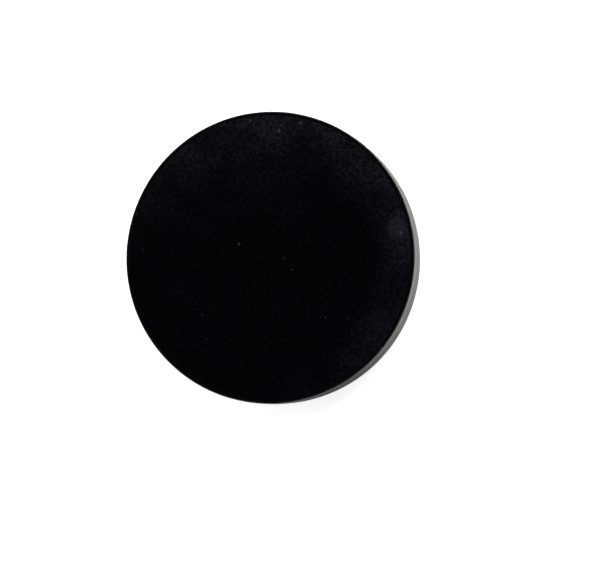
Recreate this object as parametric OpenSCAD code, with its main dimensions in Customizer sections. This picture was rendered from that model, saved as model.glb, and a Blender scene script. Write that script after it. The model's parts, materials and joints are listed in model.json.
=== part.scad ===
// Round ink stick: a flat cake of soot and animal glue, pressed in a two-part
// mould, dried, trimmed, and lacquered round its edge.
// Millimetres. +Z is up. The cake lies on its back face at z = 0, with its
// axis on Z, and its front face looks up.

/* [Cake] */
// Widest diameter, over the crest of the mould seam
cake_diameter = 70; // [40:1:120]
// Thickness from the back face to the front face
cake_thickness = 12; // [8:0.5:24]

/* [Edge] */
// Radius of the rounded arris between each face and the wall
arris_radius = 0.4; // [0.4:0.1:2]
// Angle at which each half of the wall leans in from the seam, in degrees
mould_draft = 0.5; // [0.5:0.5:5]

/* [Mould seam] */
// Height of the trimmed seam above the wall
seam_height = 0.06; // [0.02:0.01:0.3]
// Width of the trimmed seam along the wall
seam_width = 0.5; // [0.2:0.1:1.5]

/* [Lacquer] */
// Thickness of the lacquer film over the edge
lacquer_thickness = 0.2; // [0.1:0.05:0.35]
// How far the film reaches in from each arris across the face
lacquer_lap = 0.6; // [0.1:0.1:2]

/* [Hidden] */

// Steps round the cake's axis
ROUND = 128;
// Flats along the outline of each arris
ARRIS_STEPS = 8;

seam_crest_r = cake_diameter / 2;
half_thickness = cake_thickness / 2;
// The wall would meet the middle plane here if it had no seam
wall_r = seam_crest_r - seam_height;
// Centre of the front arris
arris_z = cake_thickness - arris_radius;
arris_r = wall_r
    - (arris_z + arris_radius * sin(mould_draft) - half_thickness) * tan(mould_draft)
    - arris_radius * cos(mould_draft);
// Rim of the bare front face, where the film's lip ends
face_rim = [arris_r - lacquer_lap, cake_thickness];
// Foot of the rebate below it, which the film fills flush
rebate_foot = face_rim - [0, lacquer_thickness];

// Mirrors a point of the front half of the outline into the back half.
function in_back_half(point) = [point.x, cake_thickness - point.y];

// Radius of the wall at height z in the front half, inset by a film's depth.
function wall_radius(z, inset) =
    wall_r - inset / cos(mould_draft) - (z - half_thickness) * tan(mould_draft);

// The front arris from its top down to the wall, inset by a film's depth.
function arris_points(inset) = [
    for (step = [0 : ARRIS_STEPS])
        let (angle = 90 + (mould_draft - 90) * step / ARRIS_STEPS)
        [arris_r, arris_z] + (arris_radius - inset) * [cos(angle), sin(angle)]
];

// The seam from its upper foot to its crest.
function seam_points(inset) =
    let (foot_z = half_thickness + seam_width / 2)
    [
        [wall_radius(foot_z, inset), foot_z],
        [seam_crest_r - inset / cos(mould_draft), half_thickness],
    ];

// The edge from the front arris to the crest of the seam.
function front_half(inset) = concat(arris_points(inset), seam_points(inset));

// The whole edge from the front arris round to the back arris.
function edge(inset) =
    let (front = front_half(inset))
    concat(front, [for (i = [len(front) - 2 : -1 : 0]) in_back_half(front[i])]);

// A list of points in the opposite order.
function backwards(points) = [for (i = [len(points) - 1 : -1 : 0]) points[i]];

// The pressed ink, with a rebate round its edge that the film fills.
module ink_core() {
    color([0.09, 0.09, 0.10])
    rotate_extrude($fn = ROUND)
        polygon(concat(
            [[0, cake_thickness], face_rim, rebate_foot],
            edge(lacquer_thickness),
            [in_back_half(rebate_foot), in_back_half(face_rim), [0, 0]]
        ));
}

// The lacquer film, wrapped over both arrises and flush with both faces.
module edge_lacquer() {
    color([0.14, 0.14, 0.15])
    rotate_extrude($fn = ROUND)
        polygon(concat(
            [face_rim],
            edge(0),
            [in_back_half(face_rim), in_back_half(rebate_foot)],
            backwards(edge(lacquer_thickness)),
            [rebate_foot]
        ));
}

ink_core();
edge_lacquer();
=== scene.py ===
"""Looks of a round ink stick: a pressed black cake with a lacquered edge, lying on a pale table.

Everything is in metres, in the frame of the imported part: the cake lies on its back face at z = 0,
its axis is Z, and its front face looks up.
"""

import sys

import json
import logging
import math
from collections.abc import Callable
from dataclasses import dataclass, field
from enum import Enum

import bmesh
import bpy
import numpy as np
from mathutils import Matrix, Vector

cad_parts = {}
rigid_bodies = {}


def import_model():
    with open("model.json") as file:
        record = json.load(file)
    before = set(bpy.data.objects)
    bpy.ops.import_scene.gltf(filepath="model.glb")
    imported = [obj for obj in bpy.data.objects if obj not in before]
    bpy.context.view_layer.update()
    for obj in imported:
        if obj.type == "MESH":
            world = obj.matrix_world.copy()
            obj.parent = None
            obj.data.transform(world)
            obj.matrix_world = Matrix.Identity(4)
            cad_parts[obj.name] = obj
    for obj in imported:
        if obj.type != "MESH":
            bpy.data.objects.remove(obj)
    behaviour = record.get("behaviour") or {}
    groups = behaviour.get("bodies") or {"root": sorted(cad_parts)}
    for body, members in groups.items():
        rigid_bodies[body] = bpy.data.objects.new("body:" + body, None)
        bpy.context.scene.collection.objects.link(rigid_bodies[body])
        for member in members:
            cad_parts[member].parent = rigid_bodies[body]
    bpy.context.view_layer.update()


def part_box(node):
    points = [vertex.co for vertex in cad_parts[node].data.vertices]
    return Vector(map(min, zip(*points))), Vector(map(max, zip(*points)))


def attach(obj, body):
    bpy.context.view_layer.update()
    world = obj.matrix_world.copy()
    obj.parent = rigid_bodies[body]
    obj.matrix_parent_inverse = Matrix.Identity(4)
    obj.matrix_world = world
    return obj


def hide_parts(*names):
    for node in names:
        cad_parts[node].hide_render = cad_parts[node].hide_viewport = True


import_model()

MM = 0.001

log = logging.getLogger("ink_stick")

RUB = "rub"
RAW = "raw"
SMOOTH_ANGLE = math.radians(35)
LINE_BEARINGS = (27, 118)
LEVEL_TOLERANCE = 1e-6
RADIUS_TOLERANCE = 1e-5

Colour = tuple[float, float, float]
Socket = bpy.types.NodeSocket


class Region(Enum):
    """Parts of the cake's skin, each a vertex group."""

    EDGE = "edge"
    BARE = "bare"


# Measures of the cake


@dataclass(frozen=True)
class CakeForm:
    """Outline of the cake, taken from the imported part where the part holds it.

    Attributes:
        crest_radius: Radius over the crest of the mould seam.
        thickness: Height from the back face to the front face.
        film: Depth of the lacquer film.
        arris: Radius of the rounded edge between each face and the wall.
        lap: How far the film reaches in from each arris across the face.
        draft: Angle at which each half of the wall leans in from the seam.
        seam_height: How far the seam stands above the wall.
        seam_width: Width of the seam along the wall.
        slack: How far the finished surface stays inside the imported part's box.
    """

    crest_radius: float
    thickness: float
    film: float
    arris: float = 0.4 * MM
    lap: float = 0.6 * MM
    draft: float = math.radians(0.5)
    seam_height: float = 0.06 * MM
    seam_width: float = 0.5 * MM
    slack: float = 0.03 * MM

    @classmethod
    def from_frame(cls) -> "CakeForm":
        """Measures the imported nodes.

        Returns:
            The form of the cake that they describe.
        """
        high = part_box("edge_lacquer")[1]
        core_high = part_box("ink_core")[1]
        return cls(crest_radius=high.x, thickness=high.z, film=high.x - core_high.x)

    @property
    def middle(self) -> float:
        """Height of the mould seam."""
        return self.thickness / 2

    @property
    def wall_radius(self) -> float:
        """Radius of the wall at the middle, without its seam."""
        return self.crest_radius - self.seam_height - self.slack

    @property
    def rim_radius(self) -> float:
        """Radius at which the wall would meet a face if the arris were sharp."""
        return self.wall_radius - self.middle * math.tan(self.draft)

    @property
    def tangent(self) -> float:
        """Distance from the sharp rim to where the arris begins."""
        return self.arris / math.tan((math.pi / 2 + self.draft) / 2)

    @property
    def lip_radius(self) -> float:
        """Radius of the film's inner margin on each face."""
        return self.rim_radius - self.tangent - self.lap

    def radius_at(self, height: float) -> float:
        """Radius of the wall and its seam.

        Args:
            height: Height above the back face.

        Returns:
            The radius at that height.
        """
        away = abs(height - self.middle)
        wall = self.wall_radius - away * math.tan(self.draft)
        across = min(1.0, away / (self.seam_width / 2))
        return wall + self.seam_height * (1 + math.cos(math.pi * across)) / 2


@dataclass(frozen=True)
class Nick:
    """A small bite that a knock has taken out of an arris.

    Attributes:
        bearing: Angle round the axis from +X, in degrees.
        on_front: True on the front arris, and False on the back one.
        length: Length of the bite along the arris.
        depth: Depth of the bite across it.
    """

    bearing: float
    on_front: bool
    length: float
    depth: float


# Bench tools: picks and operators on one mesh object


class Bench:
    """One mesh object under work. Its picks are made by place, and its shape by operators."""

    def __init__(self, piece: bpy.types.Object) -> None:
        """Takes the object onto the bench.

        Args:
            piece: The mesh object to work on.
        """
        self.piece = piece

    @classmethod
    def of_new_primitive(cls, name: str) -> "Bench":
        """Takes up the primitive that was just added and fixes its place in its mesh.

        Args:
            name: Name for the new object.

        Returns:
            A bench that holds it.
        """
        bench = cls(bpy.context.active_object)
        bench.rename(name)
        bench.settle()
        return bench

    def rename(self, name: str) -> None:
        """Names the object and its mesh alike."""
        self.piece.name = name
        self.piece.data.name = name

    def activate(self) -> None:
        """Makes the object the only selected one, and the active one."""
        clear_selection()
        self.piece.select_set(True)
        bpy.context.view_layer.objects.active = self.piece

    def settle(self) -> None:
        """Moves the object's place, turn and size into its mesh."""
        self.activate()
        bpy.ops.object.transform_apply(location=True, rotation=True, scale=True)

    def copy(self, name: str) -> "Bench":
        """Copies the object with a mesh of its own.

        Args:
            name: Name for the copy.

        Returns:
            A bench that holds the copy.
        """
        self.activate()
        bpy.ops.object.duplicate(linked=False)
        twin = Bench(bpy.context.active_object)
        twin.rename(name)
        return twin

    def edit(self, mode: str = "VERT") -> None:
        """Enters edit mode with nothing picked.

        Args:
            mode: What is picked: VERT, EDGE or FACE.
        """
        self.activate()
        bpy.ops.object.mode_set(mode="EDIT")
        bpy.ops.mesh.select_mode(type=mode)
        bpy.ops.mesh.select_all(action="DESELECT")

    def leave(self) -> None:
        """Goes back to object mode."""
        bpy.ops.object.mode_set(mode="OBJECT")

    def pick(self, wanted: Callable[[Vector], bool], kind: str) -> None:
        """Picks elements in edit mode by the places of their vertices.

        Args:
            wanted: Test of a vertex's place. Every vertex of an element has to pass it.
            kind: Which elements are picked: edges or faces.
        """
        mesh = bmesh.from_edit_mesh(self.piece.data)
        for element in getattr(mesh, kind):
            if all(wanted(corner.co) for corner in element.verts):
                element.select_set(True)
        mesh.select_flush_mode()
        bmesh.update_edit_mesh(self.piece.data)

    def pick_group(self, region: Region) -> None:
        """Picks a region of the skin in edit mode."""
        bpy.ops.object.vertex_group_set_active(group=region.value)
        bpy.ops.object.vertex_group_select()

    def group(self, name: str, weight: Callable[[np.ndarray, np.ndarray], np.ndarray]) -> None:
        """Adds a vertex group whose weights follow each vertex's place.

        Args:
            name: Name of the group.
            weight: Weights from the vertices' radii and heights.
        """
        radius, height = self.radii_and_heights()
        made = self.piece.vertex_groups.new(name=name)
        for index, value in enumerate(np.clip(weight(radius, height), 0.0, 1.0)):
            if value > 0:
                made.add([index], float(value), "REPLACE")

    def mark(self, name: str, value: Callable[[np.ndarray, np.ndarray], np.ndarray]) -> None:
        """Writes a value per vertex, for the finish to read.

        Args:
            name: Name of the attribute.
            value: Values from the vertices' radii and heights.
        """
        radius, height = self.radii_and_heights()
        made = self.piece.data.attributes.new(name, "FLOAT", "POINT")
        made.data.foreach_set("value", value(radius, height).astype(np.float32))

    def mark_evenly(self, name: str, value: float) -> None:
        """Writes one value on every vertex."""
        self.mark(name, lambda radius, height: np.full_like(radius, value))

    def radii_and_heights(self) -> tuple[np.ndarray, np.ndarray]:
        """Reads where the vertices are.

        Returns:
            Each vertex's distance from the axis, and its height.
        """
        places = np.empty(len(self.piece.data.vertices) * 3, np.float32)
        self.piece.data.vertices.foreach_get("co", places)
        x, y, z = places.reshape(-1, 3).T.astype(float)
        return np.hypot(x, y), z

    def modify(self, kind: str, **settings: object) -> None:
        """Adds a modifier and applies it.

        Args:
            kind: Type of the modifier.
            **settings: Its settings.
        """
        self.activate()
        made = self.piece.modifiers.new(kind.lower(), kind)
        for name, value in settings.items():
            setattr(made, name, value)
        bpy.ops.object.modifier_apply(modifier=made.name)

    def smooth(self) -> None:
        """Shades the object smooth, with its sharp edges left sharp."""
        self.activate()
        bpy.ops.object.shade_smooth_by_angle(angle=SMOOTH_ANGLE)


def clear_selection() -> None:
    """Deselects every object."""
    for other in bpy.context.view_layer.objects:
        other.select_set(False)


def remove(piece: bpy.types.Object) -> None:
    """Takes a scratch object out of the scene."""
    bpy.data.objects.remove(piece, do_unlink=True)


def clouds(name: str, size: float, depth: int = 2) -> bpy.types.Texture:
    """Makes a coloured cloud texture, for Displace modifiers.

    Args:
        name: Name of the texture.
        size: Size of its largest swells.
        depth: How many finer layers lie over them.

    Returns:
        The texture.
    """
    made = bpy.data.textures.new(name, "CLOUDS")
    made.cloud_type = "COLOR"
    made.noise_scale = size
    made.noise_depth = depth
    return made


# Sub-assemblies


@dataclass
class PressedShell:
    """The cake's whole skin as it leaves the mould, from which both pieces are cut.

    Attributes:
        form: The cake's measures.
        segments: Steps round the axis, a multiple of four.
        arris_steps: Steps across each arris.
        wall_step: Spacing of the loops up the wall.
        margin_rings: Rings between the lip and the grid that fills each face.
        margin_width: Width of the band that these rings make.
        swell: Strength of the skin's slow unevenness.
        swell_size: Length of its waves.
        roll: How far each face rolls down towards its rim.
        roll_width: Width of the band that rolls.
        waver: Strength of the wander in the lacquer's margin.
        waver_size: Length of its waves.
        waver_band: How far from the margin the skin wanders with it.
        lip_slack: How far inside the lip the lacquered region starts.
        trim: Strength of the unevenness of the trimmed seam.
        trim_size: Length of its waves.
    """

    form: CakeForm
    segments: int = 512
    arris_steps: int = 8
    wall_step: float = 0.45 * MM
    margin_rings: int = 6
    margin_width: float = 3.0 * MM
    swell: float = 0.05 * MM
    swell_size: float = 9.0 * MM
    roll: float = 0.05 * MM
    roll_width: float = 5.0 * MM
    waver: float = 0.25 * MM
    waver_size: float = 2.2 * MM
    waver_band: float = 0.2 * MM
    lip_slack: float = 0.01 * MM
    trim: float = 0.12 * MM
    trim_size: float = 7.0 * MM

    def build(self) -> Bench:
        """Presses the skin.

        Returns:
            A bench that holds it.
        """
        form = self.form
        clear_selection()
        bpy.ops.mesh.primitive_cylinder_add(
            vertices=self.segments,
            radius=form.rim_radius,
            depth=form.thickness - 2 * form.slack,
            end_fill_type="NGON",
            location=(0, 0, form.middle),
        )
        shell = Bench.of_new_primitive("pressed_shell")
        self.lean_walls(shell)
        self.round_arrises(shell)
        self.loop_walls(shell)
        for level in self.face_levels:
            self.fill_face(shell, level)
        self.wear_in(shell)
        return shell

    @property
    def face_levels(self) -> tuple[float, float]:
        """Heights of the back face and the front face."""
        return self.form.slack, self.form.thickness - self.form.slack

    def lean_walls(self, shell: Bench) -> None:
        """Cuts the wall at the seam and swells it there, so that each half leans in."""
        form = self.form
        shell.edit("EDGE")
        self.cut(shell, form.middle)
        self.swell_loop(shell, form.middle, form.wall_radius / form.rim_radius)
        shell.leave()

    def round_arrises(self, shell: Bench) -> None:
        """Bevels both rims."""
        shell.edit("EDGE")
        for level in self.face_levels:
            shell.pick(self.at_height(level), "edges")
        bpy.ops.mesh.bevel(
            offset=self.form.tangent,
            offset_type="OFFSET",
            segments=self.arris_steps,
            profile=0.5,
            affect="EDGES",
        )
        shell.leave()

    def loop_walls(self, shell: Bench) -> None:
        """Cuts loops up the wall, closer at the seam, and raises the seam from them."""
        form = self.form
        half_seam = form.seam_width / 2
        seam_steps = [half_seam * share for share in (0.25, 0.5, 0.75, 1.0)]
        reach = form.middle - form.slack - form.tangent
        count = int((reach - half_seam) / self.wall_step)
        wall_steps = [
            half_seam + (reach - half_seam) * (index + 1) / (count + 1) for index in range(count)
        ]
        shell.edit("EDGE")
        for step in seam_steps + wall_steps:
            self.cut(shell, form.middle + step)
            self.cut(shell, form.middle - step)
        for step in [0.0] + seam_steps[:-1]:
            for height in {form.middle + step, form.middle - step}:
                flat = form.wall_radius - step * math.tan(form.draft)
                self.swell_loop(shell, height, form.radius_at(height) / flat)
        shell.leave()

    def fill_face(self, shell: Bench, level: float) -> None:
        """Rings one face inside its arris, and fills the rest with an even grid.

        Args:
            shell: The skin.
            level: Height of the face.
        """
        form = self.form
        shell.edit("FACE")
        shell.pick(self.at_height(level), "faces")
        bpy.ops.mesh.inset(thickness=form.lap, depth=0)
        for _ in range(self.margin_rings):
            bpy.ops.mesh.inset(thickness=self.margin_width / self.margin_rings, depth=0)
        bpy.ops.mesh.delete(type="ONLY_FACE")
        shell.leave()
        rim = form.lip_radius - self.margin_width
        shell.edit("EDGE")
        shell.pick(
            lambda place: self.at_height(level)(place)
            and abs(place.xy.length - rim) < RADIUS_TOLERANCE,
            "edges",
        )
        bpy.ops.mesh.fill_grid(span=self.segments // 4, offset=0)
        bpy.ops.mesh.select_all(action="SELECT")
        bpy.ops.mesh.normals_make_consistent(inside=False)
        shell.leave()

    def wear_in(self, shell: Bench) -> None:
        """Rolls the faces' margins down, and makes the skin and the lacquer's line uneven."""
        form = self.form
        shell.group(
            "roll",
            lambda radius, height: ((radius - form.lip_radius) / self.roll_width + 1).clip(0) ** 2,
        )
        shell.group(
            "margin", lambda radius, height: 1 - abs(radius - form.lip_radius) / self.waver_band
        )
        reach = form.lip_radius - self.lip_slack
        shell.group(Region.EDGE.value, lambda radius, height: radius > reach)
        shell.group(Region.BARE.value, lambda radius, height: radius < reach)
        shell.modify(
            "DISPLACE", direction="NORMAL", mid_level=0.0, strength=-self.roll, vertex_group="roll"
        )
        shell.group("seam", lambda radius, height: 1 - abs(height - form.middle) / form.seam_width)
        shell.modify(
            "DISPLACE",
            direction="NORMAL",
            texture=clouds("seam_trim", self.trim_size, 1),
            texture_coords="GLOBAL",
            mid_level=0.75,
            strength=self.trim,
            vertex_group="seam",
        )
        line = clouds("lacquer_line", self.waver_size)
        for direction in ("X", "Y"):
            shell.modify(
                "DISPLACE",
                direction=direction,
                texture=line,
                texture_coords="GLOBAL",
                mid_level=0.5,
                strength=self.waver,
                vertex_group="margin",
            )
        shell.modify(
            "DISPLACE",
            direction="RGB_TO_XYZ",
            texture=clouds("skin_swell", self.swell_size, 3),
            texture_coords="GLOBAL",
            mid_level=0.5,
            strength=self.swell,
        )

    @staticmethod
    def at_height(level: float) -> Callable[[Vector], bool]:
        """Makes a test for places at one height."""
        return lambda place: abs(place.z - level) < LEVEL_TOLERANCE

    @staticmethod
    def cut(shell: Bench, height: float) -> None:
        """Cuts a loop round the whole skin.

        Args:
            shell: The skin, in edit mode. Not used.
            height: Height of the loop.
        """
        bpy.ops.mesh.select_all(action="SELECT")
        bpy.ops.mesh.bisect(plane_co=(0, 0, height), plane_no=(0, 0, 1))
        bpy.ops.mesh.select_all(action="DESELECT")

    def swell_loop(self, shell: Bench, height: float, factor: float) -> None:
        """Widens the loop at one height about the axis.

        Args:
            shell: The skin, in edit mode.
            height: Height of the loop.
            factor: How many times wider it becomes.
        """
        bpy.ops.mesh.select_all(action="DESELECT")
        shell.pick(self.at_height(height), "edges")
        bpy.ops.transform.resize(value=(factor, factor, 1), center_override=(0, 0, height))
        bpy.ops.mesh.select_all(action="DESELECT")


@dataclass
class InkCore:
    """The pressed ink, with a rebate round its edge that the lacquer fills.

    Attributes:
        form: The cake's measures.
        sink: How far the bare faces lie below the lacquer's lip.
    """

    form: CakeForm
    sink: float = 0.04 * MM

    def build(self, shell: Bench, knocks: "Knocks") -> Bench:
        """Cuts the core from the skin.

        Args:
            shell: The cake's skin.
            knocks: The bites that it has taken.

        Returns:
            A bench that holds the core.
        """
        core = shell.copy("pressed_ink")
        self.cut_rebate(core)
        self.sink_faces(core)
        core.mark_evenly(RUB, 0.0)
        core.mark_evenly(RAW, 0.0)
        knocks.bite(core, share=0.85)
        core.smooth()
        return core

    def cut_rebate(self, core: Bench) -> None:
        """Pushes the edge in by the film's depth."""
        core.edit("VERT")
        core.pick_group(Region.EDGE)
        bpy.ops.mesh.select_mode(type="FACE")
        bpy.ops.mesh.extrude_region_shrink_fatten(
            TRANSFORM_OT_shrink_fatten={"value": -self.form.film, "use_even_offset": True}
        )
        core.leave()

    def sink_faces(self, core: Bench) -> None:
        """Lowers both bare faces a little below the lip."""
        core.edit("VERT")
        core.pick_group(Region.BARE)
        bpy.ops.transform.shrink_fatten(value=-self.sink)
        core.leave()


@dataclass
class EdgeLacquer:
    """The lacquer film, wrapped over both arrises.

    Attributes:
        form: The cake's measures.
        rub_width: Width of the rubbed line along each arris.
        seam_rub_width: Width of the rubbed line along the seam.
    """

    form: CakeForm
    rub_width: float = 0.35 * MM
    seam_rub_width: float = 0.16 * MM

    def build(self, shell: Bench, knocks: "Knocks") -> Bench:
        """Peels the edge off the skin and gives it the film's depth.

        Args:
            shell: The cake's skin.
            knocks: The bites that it has taken.

        Returns:
            A bench that holds the film.
        """
        film = shell.copy("lacquer_film")
        film.edit("VERT")
        film.pick_group(Region.EDGE)
        bpy.ops.mesh.select_all(action="INVERT")
        bpy.ops.mesh.delete(type="VERT")
        film.leave()
        film.mark(RUB, self.rubbing)
        film.mark_evenly(RAW, 0.0)
        film.modify("SOLIDIFY", thickness=self.form.film, offset=-1.0, use_even_offset=True)
        knocks.bite(film, share=1.0)
        film.smooth()
        return film

    def rubbing(self, radius: np.ndarray, height: np.ndarray) -> np.ndarray:
        """Says how much each place is rubbed by handling.

        Args:
            radius: Distances from the axis.
            height: Heights above the back face.

        Returns:
            A share from 0 to 1 for each place, highest along the arrises and the seam.
        """
        form = self.form
        inset = form.arris * (1 - math.sqrt(0.5))
        away = abs(height - form.middle)
        arris = np.hypot(radius - form.rim_radius + inset, away - form.middle + form.slack + inset)
        along_arris = np.exp(-((arris / self.rub_width) ** 2))
        along_seam = np.exp(-((away / self.seam_rub_width) ** 2))
        return np.maximum(along_arris, along_seam)


@dataclass
class Knocks:
    """Small bites along the arrises, where the cake has been knocked.

    Attributes:
        form: The cake's measures.
        nicks: Where the bites are, and their sizes.
        roughness: Strength of the unevenness of a bite.
        grit: Size of that unevenness.
    """

    form: CakeForm
    nicks: tuple[Nick, ...] = (
        Nick(7, True, 1.1 * MM, 0.20 * MM),
        Nick(-39, True, 1.5 * MM, 0.22 * MM),
        Nick(-44, False, 0.9 * MM, 0.20 * MM),
        Nick(-98, True, 0.8 * MM, 0.18 * MM),
        Nick(118, True, 1.2 * MM, 0.22 * MM),
        Nick(131, False, 1.6 * MM, 0.26 * MM),
        Nick(204, True, 0.7 * MM, 0.18 * MM),
    )
    roughness: float = 0.12 * MM
    grit: float = 0.35 * MM

    def bite(self, target: Bench, share: float) -> None:
        """Takes the bites out of one piece.

        Args:
            target: The piece.
            share: Size of the bites against their full size.
        """
        for nick in self.nicks:
            cutter = self.cutter(nick, share)
            target.modify("BOOLEAN", operation="DIFFERENCE", solver="MANIFOLD", object=cutter.piece)
            remove(cutter.piece)

    def cutter(self, nick: Nick, share: float) -> Bench:
        """Makes the solid that takes one bite.

        Args:
            nick: The bite.
            share: Its size against its full size.

        Returns:
            A bench that holds the solid.
        """
        form = self.form
        corner = form.arris * (1 - math.sqrt(0.5))
        height = form.thickness - corner if nick.on_front else corner
        outwards = Vector((1, 0, 1 if nick.on_front else -1)).normalized()
        surface = Vector((form.rim_radius - corner, 0, height))
        belly = nick.length / 2 * share
        centre = surface + outwards * (belly - nick.depth * share)
        clear_selection()
        bpy.ops.mesh.primitive_ico_sphere_add(subdivisions=5, radius=belly, location=centre)
        cutter = Bench.of_new_primitive("bite")
        cutter.modify(
            "DISPLACE",
            direction="NORMAL",
            texture=clouds("break", self.grit, 3),
            texture_coords="LOCAL",
            mid_level=0.5,
            strength=self.roughness,
        )
        cutter.piece.rotation_euler.z = math.radians(nick.bearing)
        cutter.settle()
        cutter.mark_evenly(RUB, 0.0)
        cutter.mark_evenly(RAW, 1.0)
        return cutter


# Finishes


class Graph:
    """A node tree that is being wired."""

    def __init__(self, tree: bpy.types.NodeTree) -> None:
        """Takes up a tree.

        Args:
            tree: The tree to wire.
        """
        self.tree = tree

    def feed(self, made: bpy.types.Node, inputs: dict[str | int, object]) -> None:
        """Links or sets the inputs of a node.

        Args:
            made: The node.
            inputs: A socket to link, or a value to set, for each named input.
        """
        for name, value in inputs.items():
            if isinstance(value, bpy.types.NodeSocket):
                self.tree.links.new(value, made.inputs[name])
            else:
                made.inputs[name].default_value = value

    def node(
        self, kind: str, inputs: dict[str | int, object] | None = None, **settings: object
    ) -> bpy.types.Node:
        """Adds a node.

        Args:
            kind: The node's type, without its Shader prefix.
            inputs: A socket to link, or a value to set, for each named input.
            **settings: The node's own settings.

        Returns:
            The node.
        """
        made = self.tree.nodes.new("ShaderNode" + kind)
        for name, value in settings.items():
            setattr(made, name, value)
        self.feed(made, inputs or {})
        return made

    def maths(self, operation: str, *values: object, clamp: bool = False) -> Socket:
        """Adds a Math node.

        Args:
            operation: What it works out.
            *values: Its inputs, each a socket or a number.
            clamp: True to keep the result from 0 to 1.

        Returns:
            Its result.
        """
        inputs = dict(enumerate(values))
        return self.node("Math", inputs, operation=operation, use_clamp=clamp).outputs[0]

    def ramp(self, value: Socket, low: float, high: float, to: tuple[float, float] = (0, 1)) -> Socket:
        """Runs a value smoothly from one range to another.

        Args:
            value: The value.
            low: Where the run starts.
            high: Where the run ends.
            to: What the result is at its start and its end.

        Returns:
            The result.
        """
        inputs = {"Value": value, "From Min": low, "From Max": high, "To Min": to[0], "To Max": to[1]}
        return self.node("MapRange", inputs, interpolation_type="SMOOTHSTEP").outputs["Result"]

    def blend(self, share: object, first: object, second: object) -> Socket:
        """Mixes two colours.

        Args:
            share: How much of the second shows.
            first: The first colour, or its socket.
            second: The second colour, or its socket.

        Returns:
            The mixed colour.
        """
        inputs = {0: share, 6: first, 7: second}
        for index, value in inputs.items():
            if isinstance(value, tuple):
                inputs[index] = (*value, 1.0)
        return self.node("Mix", inputs, data_type="RGBA").outputs[2]

    def noise(self, vector: Socket, scale: object, detail: float = 2.0, roughness: float = 0.5) -> Socket:
        """Adds a noise pattern.

        Args:
            vector: Where the pattern is read.
            scale: How many features lie along a metre.
            detail: How many finer layers lie over it.
            roughness: How strong they are.

        Returns:
            The pattern, from 0 to 1.
        """
        inputs = {"Vector": vector, "Scale": scale, "Detail": detail, "Roughness": roughness}
        return self.node("TexNoise", inputs).outputs["Fac"]

    def pattern(self, group: bpy.types.NodeTree, inputs: dict[str, object]) -> bpy.types.Node:
        """Places a shared pattern.

        Args:
            group: The pattern's node group.
            inputs: Its inputs.

        Returns:
            The group's node.
        """
        made = self.tree.nodes.new("ShaderNodeGroup")
        made.node_tree = group
        self.feed(made, inputs)
        return made


class Pattern:
    """A shared pattern: a node group with named inputs and outputs."""

    def __init__(self, name: str, inputs: dict[str, float], outputs: tuple[str, ...]) -> None:
        """Makes the empty group.

        Args:
            name: The group's name.
            inputs: Its number inputs and their usual values, besides Vector.
            outputs: Its outputs, each a number that changes over the surface.
        """
        self.tree = bpy.data.node_groups.new(name, "ShaderNodeTree")
        face = self.tree.interface
        face.new_socket("Vector", in_out="INPUT", socket_type="NodeSocketVector")
        for title, value in inputs.items():
            made = face.new_socket(title, in_out="INPUT", socket_type="NodeSocketFloat")
            made.default_value = value
        for title in outputs:
            face.new_socket(title, in_out="OUTPUT", socket_type="NodeSocketFloat")
        self.graph = Graph(self.tree)
        self.given = self.tree.nodes.new("NodeGroupInput").outputs
        self.result = self.tree.nodes.new("NodeGroupOutput").inputs

    def give(self, title: str, value: Socket) -> None:
        """Links a value to one of the outputs."""
        self.tree.links.new(value, self.result[title])


def pressed_grain() -> bpy.types.NodeTree:
    """Makes the grain of soot pressed in a mould.

    Returns:
        A group that gives the grain's height and a slow mottle, both from 0 to 1.
    """
    made = Pattern("pressed_grain", {"Grain": 0.45 * MM, "Mottle": 8 * MM}, ("Height", "Mottle"))
    graph, given = made.graph, made.given
    per_grain = graph.maths("DIVIDE", 1.0, given["Grain"])
    per_mottle = graph.maths("DIVIDE", 1.0, given["Mottle"])
    grains = graph.noise(given["Vector"], per_grain, 3.0, 0.6)
    inputs = {"Vector": given["Vector"], "Scale": graph.maths("MULTIPLY", per_grain, 0.7)}
    cells = graph.node("TexVoronoi", inputs, feature="F1").outputs["Distance"]
    pits = graph.ramp(cells, 0.05, 0.55)
    lumpy = graph.ramp(grains, 0.25, 0.75)
    height = graph.maths("MULTIPLY_ADD", pits, 0.35, graph.maths("MULTIPLY", lumpy, 0.65))
    made.give("Height", height)
    made.give("Mottle", graph.ramp(graph.noise(given["Vector"], per_mottle, 4.0, 0.55), 0.3, 0.7))
    return made.tree


def turned_marks() -> bpy.types.NodeTree:
    """Makes fine marks that run round the axis, as a cloth or a brush leaves on a turned cake.

    Returns:
        A group that gives the marks' height, from 0 to 1.
    """
    made = Pattern("turned_marks", {"Pitch": 0.4 * MM, "Breaks": 3.0}, ("Height",))
    graph, given = made.graph, made.given
    split = graph.node("SeparateXYZ", {"Vector": given["Vector"]}).outputs
    flat = graph.node("CombineXYZ", {"X": split["X"], "Y": split["Y"]}).outputs[0]
    radius = graph.node("VectorMath", {0: flat}, operation="LENGTH").outputs["Value"]
    heading = graph.node("VectorMath", {0: flat}, operation="NORMALIZE").outputs[0]
    spread = graph.node("VectorMath", {0: heading, "Scale": given["Breaks"]}, operation="SCALE").outputs[0]
    around = graph.node("SeparateXYZ", {"Vector": spread}).outputs
    across = graph.maths("DIVIDE", graph.maths("ADD", radius, split["Z"]), given["Pitch"])
    place = graph.node("CombineXYZ", {"X": around["X"], "Y": around["Y"], "Z": across}).outputs[0]
    made.give("Height", graph.ramp(graph.noise(place, 1.0, 4.0, 0.65), 0.25, 0.75))
    return made.tree


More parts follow.
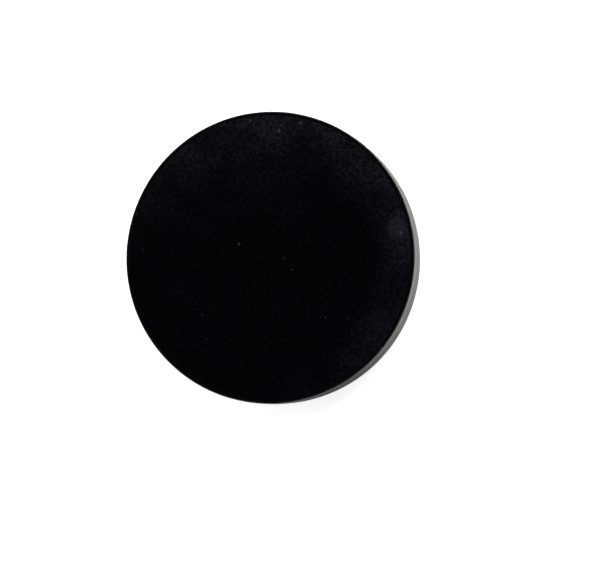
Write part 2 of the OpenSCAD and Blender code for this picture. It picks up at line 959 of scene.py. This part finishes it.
def hairlines() -> bpy.types.NodeTree:
    """Makes sparse hairline scratches that run two ways across a face.

    Returns:
        A group that gives the scratches' mask, from 0 to 1.
    """
    made = Pattern("hairlines", {"Spacing": 2.4 * MM, "Stretch": 30.0}, ("Mask",))
    graph, given = made.graph, made.given
    per_line = graph.maths("DIVIDE", 1.0, given["Spacing"])
    squeeze = graph.maths("DIVIDE", 1.0, given["Stretch"])
    squash = graph.node("CombineXYZ", {"X": squeeze, "Y": 1.0, "Z": squeeze}).outputs[0]
    mask: object = 0.0
    for turn in LINE_BEARINGS:
        turned = graph.node("Mapping", {"Vector": given["Vector"], "Rotation": (0, 0, math.radians(turn))})
        drawn = graph.node("VectorMath", {0: turned.outputs[0], 1: squash}, operation="MULTIPLY").outputs[0]
        level = graph.maths("ABSOLUTE", graph.maths("SUBTRACT", graph.noise(drawn, per_line, 1.0), 0.5))
        patches = graph.noise(turned.outputs[0], graph.maths("MULTIPLY", per_line, 0.25), 2.0)
        broken = graph.ramp(patches, 0.49, 0.61)
        line = graph.maths("MULTIPLY", graph.ramp(level, 0.0, 0.010, (1.0, 0.0)), broken)
        mask = graph.maths("MAXIMUM", mask, line)
    made.give("Mask", mask)
    return made.tree


def settled_dust() -> bpy.types.NodeTree:
    """Makes scattered specks that gather in patches.

    Returns:
        A group that gives the specks' mask, from 0 to 1.
    """
    made = Pattern("settled_dust", {"Speck": 0.8 * MM, "Amount": 0.1}, ("Mask",))
    graph, given = made.graph, made.given
    per_speck = graph.maths("DIVIDE", 1.0, given["Speck"])
    cells = graph.node("TexVoronoi", {"Vector": given["Vector"], "Scale": per_speck}, feature="F1")
    chance = graph.node("SeparateColor", {"Color": cells.outputs["Color"]}).outputs
    per_patch = graph.maths("MULTIPLY", per_speck, 0.08)
    patches = graph.ramp(graph.noise(given["Vector"], per_patch, 2.0), 0.35, 0.7)
    limit = graph.maths("MULTIPLY", given["Amount"], patches)
    kept = graph.maths("LESS_THAN", chance["Red"], limit)
    size = graph.maths("MULTIPLY_ADD", chance["Green"], 0.16, 0.06)
    near = graph.maths("SUBTRACT", 1.0, graph.maths("DIVIDE", cells.outputs["Distance"], size), clamp=True)
    made.give("Mask", graph.maths("MULTIPLY", kept, graph.ramp(near, 0.0, 0.5)))
    return made.tree


def rubbed_edge() -> bpy.types.NodeTree:
    """Makes the broken line that handling rubs along an edge.

    Returns:
        A group that gives the mask of the rubbed places, from 0 to 1.
    """
    made = Pattern("rubbed_edge", {"Edge": 0.0, "Breakup": 1.5 * MM, "Reach": 0.5}, ("Mask",))
    graph, given = made.graph, made.given
    per_break = graph.maths("DIVIDE", 1.0, given["Breakup"])
    coarse = graph.noise(given["Vector"], per_break, 4.0, 0.65)
    slow = graph.noise(given["Vector"], graph.maths("MULTIPLY", per_break, 0.13), 1.0)
    amount = graph.maths("ADD", graph.maths("MULTIPLY", coarse, 0.6), graph.maths("MULTIPLY", slow, 0.6))
    raised = graph.maths("ADD", graph.maths("MULTIPLY", given["Edge"], given["Reach"]), amount)
    made.give("Mask", graph.maths("MULTIPLY", graph.ramp(raised, 0.85, 1.1), given["Edge"]))
    return made.tree


@dataclass(frozen=True)
class Patterns:
    """The shared patterns, made once."""

    grain: bpy.types.NodeTree = field(default_factory=pressed_grain)
    marks: bpy.types.NodeTree = field(default_factory=turned_marks)
    lines: bpy.types.NodeTree = field(default_factory=hairlines)
    dust: bpy.types.NodeTree = field(default_factory=settled_dust)
    rub: bpy.types.NodeTree = field(default_factory=rubbed_edge)


def open_material(name: str) -> tuple[bpy.types.Material, Graph, bpy.types.Node]:
    """Makes a material with a bare Principled shader.

    Args:
        name: The material's name.

    Returns:
        The material, its tree, and its shader.
    """
    material = bpy.data.materials.new(name)
    material.use_nodes = True
    material.node_tree.nodes.clear()
    graph = Graph(material.node_tree)
    shader = graph.node("BsdfPrincipled")
    graph.node("OutputMaterial", {"Surface": shader.outputs["BSDF"]})
    return material, graph, shader


@dataclass(frozen=True)
class FleckOrPaintedHighlight:
    """A light spot on the ink: a speck of dust, or a patch of painted highlight.

    Attributes:
        x: Its place along X.
        y: Its place along Y.
        size: Its radius.
        strength: How much of it shows, from 0 to 1.
    """

    x: float
    y: float
    size: float
    strength: float


@dataclass(frozen=True)
class InkFinish:
    """Matte soot and glue, blue-black, finely grained and faintly burnished, with a painted sheen towards +X
    and +Y.

    Attributes:
        face_height: Height of the front face, on which the flecks lie.
        deep: Colour where the ink is cleanest.
        worn: Colour of the grains that stand out.
        haze_and_painted_sheen: Colour of the grains under the thin bloom.
        dust: Colour of the specks and flecks.
        raw: Colour of a broken place.
        gloss: Specular level.
        roughness: Roughness of the smoothest places.
        relief: Height of the grain.
        ragged: How far the flecks' outlines wander.
        flecks_and_painted_highlight: The few large light specks, and one wide faint patch of painted
            highlight near the +X rim.
    """

    face_height: float
    deep: Colour = (0.0001, 0.0001, 0.0002)
    worn: Colour = (0.0010, 0.0009, 0.0016)
    haze_and_painted_sheen: Colour = (0.0068, 0.0071, 0.0098)
    dust: Colour = (0.054, 0.056, 0.060)
    raw: Colour = (0.0060, 0.0058, 0.0062)
    gloss: float = 0.08
    roughness: float = 0.38
    relief: float = 0.045 * MM
    ragged: float = 0.6 * MM
    flecks_and_painted_highlight: tuple[FleckOrPaintedHighlight, ...] = (
        FleckOrPaintedHighlight(-7.2 * MM, 3.2 * MM, 0.30 * MM, 0.35),
        FleckOrPaintedHighlight(7.6 * MM, 31.9 * MM, 0.38 * MM, 0.45),
        FleckOrPaintedHighlight(2.4 * MM, 30.1 * MM, 0.42 * MM, 0.45),
        FleckOrPaintedHighlight(2.9 * MM, 31.4 * MM, 0.32 * MM, 0.32),
        FleckOrPaintedHighlight(-4.6 * MM, 32.7 * MM, 0.35 * MM, 0.35),
        FleckOrPaintedHighlight(31.5 * MM, 5.5 * MM, 0.50 * MM, 0.45),
        # The last spot, wide and faint, is a painted hazy highlight near the +X rim; the others are specks of
        # dust.
        FleckOrPaintedHighlight(30.7 * MM, 6.6 * MM, 2.60 * MM, 0.09),
    )

    def build(self, shared: Patterns) -> bpy.types.Material:
        """Mixes the finish.

        Args:
            shared: The shared patterns.

        Returns:
            The material.
        """
        material, graph, shader = open_material("pressed_ink")
        place = graph.node("TexCoord").outputs["Object"]
        grain = graph.pattern(shared.grain, {"Vector": place, "Grain": 0.42 * MM, "Mottle": 7 * MM}).outputs
        lines = graph.pattern(shared.lines, {"Vector": place}).outputs
        dust = graph.pattern(shared.dust, {"Vector": place, "Speck": 0.9 * MM, "Amount": 0.035}).outputs
        pits = graph.pattern(shared.dust, {"Vector": place, "Speck": 1.9 * MM, "Amount": 0.30}).outputs
        raw = graph.node("Attribute", attribute_name=RAW).outputs["Fac"]
        lit = graph.noise(place, 1 / (0.80 * MM), 2.0, 0.6)
        tone = graph.blend(graph.ramp(lit, 0.40, 0.70), self.deep, self.worn)
        # Painted sheen: a lighter tone over the grains towards +X and +Y, where the key light falls, partly a
        # real thin film in patches.
        bloom_and_painted_sheen = graph.maths("MULTIPLY", self.bloom_and_painted_sheen(graph, place), graph.ramp(lit, 0.34, 0.66, (0.20, 1.10)))
        tone = graph.blend(bloom_and_painted_sheen, tone, self.haze_and_painted_sheen)
        tone = graph.blend(raw, tone, self.raw)
        # Dust specks, large light specks and the painted hazy highlight near the +X rim all take the dust
        # colour.
        tone = graph.blend(graph.maths("MAXIMUM", dust["Mask"], self.fleck_and_highlight_mask(graph, place)), tone, self.dust)
        matt = graph.maths("MULTIPLY_ADD", grain["Mottle"], 0.04, self.roughness)
        matt = graph.maths("MULTIPLY_ADD", lines["Mask"], -0.08, matt)
        matt = graph.maths("MULTIPLY_ADD", raw, 0.30, matt, clamp=True)
        height = graph.maths("MULTIPLY_ADD", lines["Mask"], -0.45, grain["Height"])
        height = graph.maths("MULTIPLY_ADD", pits["Mask"], -2.0, height)
        bump = graph.node("Bump", {"Height": height, "Strength": 1.0, "Distance": self.relief})
        graph.feed(shader, {"Base Color": tone, "Roughness": matt, "Normal": bump.outputs["Normal"]})
        graph.feed(shader, {"Specular IOR Level": self.gloss})
        return material

    def bloom_and_painted_sheen(self, graph: Graph, place: Socket) -> Socket:
        """Works out where the thin whitish film and the painted sheen lie: in patches, round the rim towards
        +X and +Y, and more towards +Y, where the key light falls.

        Args:
            graph: The material's tree.
            place: Places on the piece.

        Returns:
            The bloom's share, from 0 to 1.
        """
        high = graph.node("SeparateXYZ", {"Vector": place}).outputs["Y"]
        heading = graph.node("VectorMath", {0: place}, operation="NORMALIZE").outputs[0]
        facing = graph.node("VectorMath", {0: heading, 1: (0.71, 0.71, 0.0)}, operation="DOT_PRODUCT")
        radius = graph.node("VectorMath", {0: place}, operation="LENGTH").outputs["Value"]
        # Painted sheen round the rim on the side facing +X and +Y, and more towards +Y, where the key light
        # falls; the patches are a real thin film.
        rim = graph.maths(
            "MULTIPLY",
            graph.ramp(radius, 25 * MM, 36.5 * MM),
            graph.ramp(facing.outputs["Value"], -0.75, 0.45),
        )
        top = graph.ramp(high, 4 * MM, 36 * MM)
        patches = graph.ramp(graph.noise(place, 1 / (9 * MM), 3.0, 0.55), 0.34, 0.66, (0.30, 1.0))
        spread = graph.maths("ADD", graph.maths("MULTIPLY_ADD", top, 0.38, rim), 0.05)
        return graph.maths("MULTIPLY", spread, patches, clamp=True)

    def fleck_and_highlight_mask(self, graph: Graph, place: Socket) -> Socket:
        """Works out where the few large light specks lie, and the wide faint painted highlight near the +X
        rim, each with a ragged outline.

        Args:
            graph: The material's tree.
            place: Places on the piece.

        Returns:
            Their mask, from 0 to 1.
        """
        rough = graph.noise(place, 1 / (0.4 * MM), 2.0)
        ragged = graph.maths("MULTIPLY_ADD", rough, self.ragged, -self.ragged / 2)
        mask: object = 0.0
        for fleck_or_highlight in self.flecks_and_painted_highlight:
            centre = (fleck_or_highlight.x, fleck_or_highlight.y, self.face_height)
            away = graph.node("VectorMath", {0: place, 1: centre}, operation="DISTANCE").outputs["Value"]
            outline = graph.maths("ADD", away, ragged)
            near = graph.ramp(outline, 0.3 * fleck_or_highlight.size, 1.4 * fleck_or_highlight.size, (fleck_or_highlight.strength, 0.0))
            mask = graph.maths("MAXIMUM", mask, near)
        return mask


@dataclass(frozen=True)
class LacquerFinish:
    """Thin black lacquer, satin, brushed round the edge and rubbed where it is handled.

    Attributes:
        film: Colour of sound lacquer.
        thin: Colour where the film is thin.
        rubbed: Colour of the ink that shows where the film is rubbed away.
        dust: Colour of the specks.
        gloss: Specular level.
        roughness: Roughness of the smoothest places.
        relief: Height of the brush marks.
    """

    film: Colour = (0.0008, 0.0008, 0.0011)
    thin: Colour = (0.0020, 0.0018, 0.0018)
    rubbed: Colour = (0.0200, 0.0196, 0.0200)
    dust: Colour = (0.040, 0.039, 0.038)
    gloss: float = 0.42
    roughness: float = 0.13
    relief: float = 0.014 * MM

    def build(self, shared: Patterns) -> bpy.types.Material:
        """Mixes the finish.

        Args:
            shared: The shared patterns.

        Returns:
            The material.
        """
        material, graph, shader = open_material("edge_lacquer")
        place = graph.node("TexCoord").outputs["Object"]
        edge = graph.node("Attribute", attribute_name=RUB).outputs["Fac"]
        raw = graph.node("Attribute", attribute_name=RAW).outputs["Fac"]
        grain = graph.pattern(shared.grain, {"Vector": place, "Grain": 0.9 * MM, "Mottle": 5 * MM}).outputs
        brush = graph.pattern(shared.marks, {"Vector": place, "Pitch": 0.16 * MM, "Breaks": 5.0}).outputs
        dust = graph.pattern(shared.dust, {"Vector": place, "Speck": 0.9 * MM, "Amount": 0.14}).outputs
        rubbed = graph.pattern(
            shared.rub, {"Vector": place, "Edge": edge, "Breakup": 1.1 * MM, "Reach": 0.45}
        ).outputs["Mask"]
        bare = graph.maths("MAXIMUM", rubbed, raw)
        tone = graph.blend(grain["Mottle"], self.film, self.thin)
        tone = graph.blend(bare, tone, self.rubbed)
        tone = graph.blend(dust["Mask"], tone, self.dust)
        matt = graph.maths("MULTIPLY_ADD", brush["Height"], 0.12, self.roughness)
        matt = graph.maths("MULTIPLY_ADD", grain["Mottle"], 0.07, matt)
        matt = graph.maths("MULTIPLY_ADD", bare, 0.25, matt, clamp=True)
        strokes = graph.maths("MULTIPLY", brush["Height"], 0.5)
        height = graph.maths("MULTIPLY_ADD", grain["Height"], 0.5, strokes)
        bump = graph.node("Bump", {"Height": height, "Strength": 1.0, "Distance": self.relief})
        graph.feed(shader, {"Base Color": tone, "Roughness": matt, "Normal": bump.outputs["Normal"]})
        graph.feed(shader, {"Specular IOR Level": self.gloss})
        return material


@dataclass(frozen=True)
class TableFinish:
    """A plain pale table top, which looks a little paler than it lights the cake.

    Attributes:
        colour: Its colour.
        shade: Its colour in the slightly darker patches.
        lift: Light added to what is seen of it, so that its shadows stay pale.
    """

    colour: Colour = (0.88, 0.88, 0.88)
    shade: Colour = (0.86, 0.86, 0.86)
    lift: float = 0.75

    def build(self) -> bpy.types.Material:
        """Mixes the finish.

        Returns:
            The material.
        """
        material, graph, shader = open_material("pale_table")
        place = graph.node("TexCoord").outputs["Object"]
        tone = graph.blend(graph.noise(place, 6.0, 3.0), self.colour, self.shade)
        seen = graph.node("LightPath").outputs["Is Camera Ray"]
        graph.feed(shader, {"Base Color": tone, "Emission Color": seen, "Emission Strength": self.lift})
        graph.feed(shader, {"Roughness": 0.9, "Specular IOR Level": 0.1})
        return material


# Studio


@dataclass(frozen=True)
class CeilingPanel:
    """A wide panel of even light, which lights the whole table alike and shows in no gloss.

    Attributes:
        name: Its name.
        bearing: Angle round the axis from +X, in degrees.
        elevation: Angle above the table, in degrees.
        strength: Its light on a surface that faces it.
        spread: How wide it looks from the table, in degrees.
    """

    name: str
    bearing: float
    elevation: float
    strength: float
    spread: float

    def build(self) -> None:
        """Hangs the panel."""
        panel = bpy.data.lights.new(self.name, "SUN")
        panel.energy, panel.angle = self.strength, math.radians(self.spread)
        hang(panel, self.bearing, self.elevation, 0.0).visible_glossy = False


@dataclass(frozen=True)
class SoftBox:
    """A soft lamp that looks at the middle of the table and shows only in gloss.

    Attributes:
        name: Its name.
        bearing: Angle round the axis from +X, in degrees.
        elevation: Angle above the table, in degrees.
        distance: How far it stands from the cake.
        size: Its width and height.
        power: Its power in watts.
    """

    name: str
    bearing: float
    elevation: float
    distance: float
    size: tuple[float, float]
    power: float

    def build(self) -> None:
        """Hangs the lamp."""
        lamp = bpy.data.lights.new(self.name, "AREA")
        lamp.shape = "RECTANGLE"
        lamp.size, lamp.size_y = self.size
        lamp.energy = self.power
        hang(lamp, self.bearing, self.elevation, self.distance).visible_diffuse = False


def bearing_vector(bearing: float, elevation: float) -> Vector:
    """Points from the middle of the table into the room.

    Args:
        bearing: Angle round the axis from +X, in degrees.
        elevation: Angle above the table, in degrees.

    Returns:
        A vector of length 1.
    """
    turn, lift = math.radians(bearing), math.radians(elevation)
    return Vector(
        (math.cos(lift) * math.cos(turn), math.cos(lift) * math.sin(turn), math.sin(lift))
    )


def hang(lamp: bpy.types.Light, bearing: float, elevation: float, distance: float) -> bpy.types.Object:
    """Hangs a lamp so that it looks at the middle of the table.

    Args:
        lamp: The lamp.
        bearing: Angle round the axis from +X, in degrees.
        elevation: Angle above the table, in degrees.
        distance: How far it stands from the cake.

    Returns:
        The object that holds it.
    """
    holder = bpy.data.objects.new(lamp.name, lamp)
    back = bearing_vector(bearing, elevation)
    holder.location = back * distance
    holder.rotation_euler = back.to_track_quat("Z", "Y").to_euler()
    bpy.context.scene.collection.objects.link(holder)
    return holder


@dataclass
class Studio:
    """The table, the soft light and the camera.

    Attributes:
        face_height: Height of the cake's front face, at which the camera looks.
        table_size: Width of the table.
        table_drop: How far the table lies below the cake, so that their faces don't meet.
        camera_distance: How far the camera stands from the point that it looks at.
        camera_bearing: Side of the cake to which the camera leans, in degrees from +X.
        camera_lean: Angle between the camera's line and the cake's axis, in degrees.
        aim: Where the camera looks on the plane of the front face.
        lens: Focal length in millimetres, for the usual 36 mm sensor.
    """

    face_height: float
    table_size: float = 12.0
    table_drop: float = 0.01 * MM
    camera_distance: float = 0.6
    camera_bearing: float = -16.5
    camera_lean: float = 9.56
    aim: tuple[float, float] = (6.50 * MM, -7.14 * MM)
    lens: float = 153.9
    panels: tuple[CeilingPanel, ...] = (
        CeilingPanel("key_panel", 76, 52, 3.1, 40),
        CeilingPanel("left_panel", 165, 42, 0.8, 50),
        CeilingPanel("near_panel", 250, 42, 0.35, 50),
    )
    lamps: tuple[SoftBox, ...] = (
        SoftBox("front_strip", 245, 16, 0.8, (0.10, 0.34), 0.5),
        SoftBox("left_strip", 150, 18, 0.8, (0.12, 0.34), 0.5),
        SoftBox("front_box", -50, 40, 0.9, (0.5, 0.5), 0.8),
        SoftBox("back_box", 135, 38, 0.9, (0.5, 0.5), 0.7),
    )

    def build(self) -> None:
        """Sets up the studio."""
        self.lay_table()
        self.light_room()
        for light in self.panels + self.lamps:
            light.build()
        self.place_camera()
        bpy.context.scene.view_settings.view_transform = "Standard"

    def lay_table(self) -> None:
        """Lays the table under the cake."""
        clear_selection()
        bpy.ops.mesh.primitive_plane_add(size=self.table_size, location=(0, 0, -self.table_drop))
        table = Bench.of_new_primitive("table")
        table.piece.data.materials.append(TableFinish().build())

    def light_room(self) -> None:
        """Lights the room: pale at the horizon, dark overhead, and white where it is seen."""
        world = bpy.data.worlds.new("room")
        world.use_nodes = True
        world.node_tree.nodes.clear()
        graph = Graph(world.node_tree)
        ray = graph.node("TexCoord").outputs["Generated"]
        up = graph.node("SeparateXYZ", {"Vector": ray}).outputs["Z"]
        glow = graph.ramp(up, 0.05, 0.65, (0.85, 0.012))
        seen = graph.maths("MULTIPLY", graph.node("LightPath").outputs["Is Camera Ray"], 1.1)
        strength = graph.maths("MAXIMUM", glow, seen)
        sky = graph.node("Background", {"Color": (1.0, 1.0, 1.0, 1.0), "Strength": strength})
        graph.node("OutputWorld", {"Surface": sky.outputs["Background"]})
        bpy.context.scene.world = world

    def place_camera(self) -> None:
        """Stands the camera over the cake, with +X to the right and +Y up."""
        back = bearing_vector(self.camera_bearing, 90 - self.camera_lean)
        right = Vector((0, 1, 0)).cross(back).normalized()
        up = back.cross(right)
        lens = bpy.data.cameras.new("camera")
        lens.lens, lens.sensor_width = self.lens, 36.0
        lens.clip_start, lens.clip_end = 0.01, 20.0
        camera = bpy.data.objects.new("camera", lens)
        turn = Matrix((right, up, back)).transposed()
        spot = Vector((*self.aim, self.face_height)) + back * self.camera_distance
        camera.matrix_world = Matrix.LocRotScale(spot, turn.to_quaternion(), None)
        bpy.context.scene.collection.objects.link(camera)
        bpy.context.scene.camera = camera


def dress(bench: Bench, material: bpy.types.Material, node: str) -> None:
    """Gives a finished piece its finish and its body, and hides the CAD node that it stands for.

    Args:
        bench: The bench that holds the piece.
        material: Its finish.
        node: The CAD node.
    """
    piece = bench.piece
    piece.data.materials.clear()
    piece.data.materials.append(material)
    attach(piece, "root")
    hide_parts(node)
    log.info("%s: %d faces", piece.name, len(piece.data.polygons))


def main() -> None:
    """Builds the cake and its studio."""
    logging.basicConfig(level=logging.INFO, format="%(name)s: %(message)s", stream=sys.stdout)
    form = CakeForm.from_frame()
    Studio(form.thickness).build()
    shared = Patterns()
    knocks = Knocks(form)
    shell = PressedShell(form).build()
    core = InkCore(form).build(shell, knocks)
    film = EdgeLacquer(form).build(shell, knocks)
    remove(shell.piece)
    dress(core, InkFinish(form.thickness).build(shared), "ink_core")
    dress(film, LacquerFinish().build(shared), "edge_lacquer")


if __name__ == "__main__":
    main()
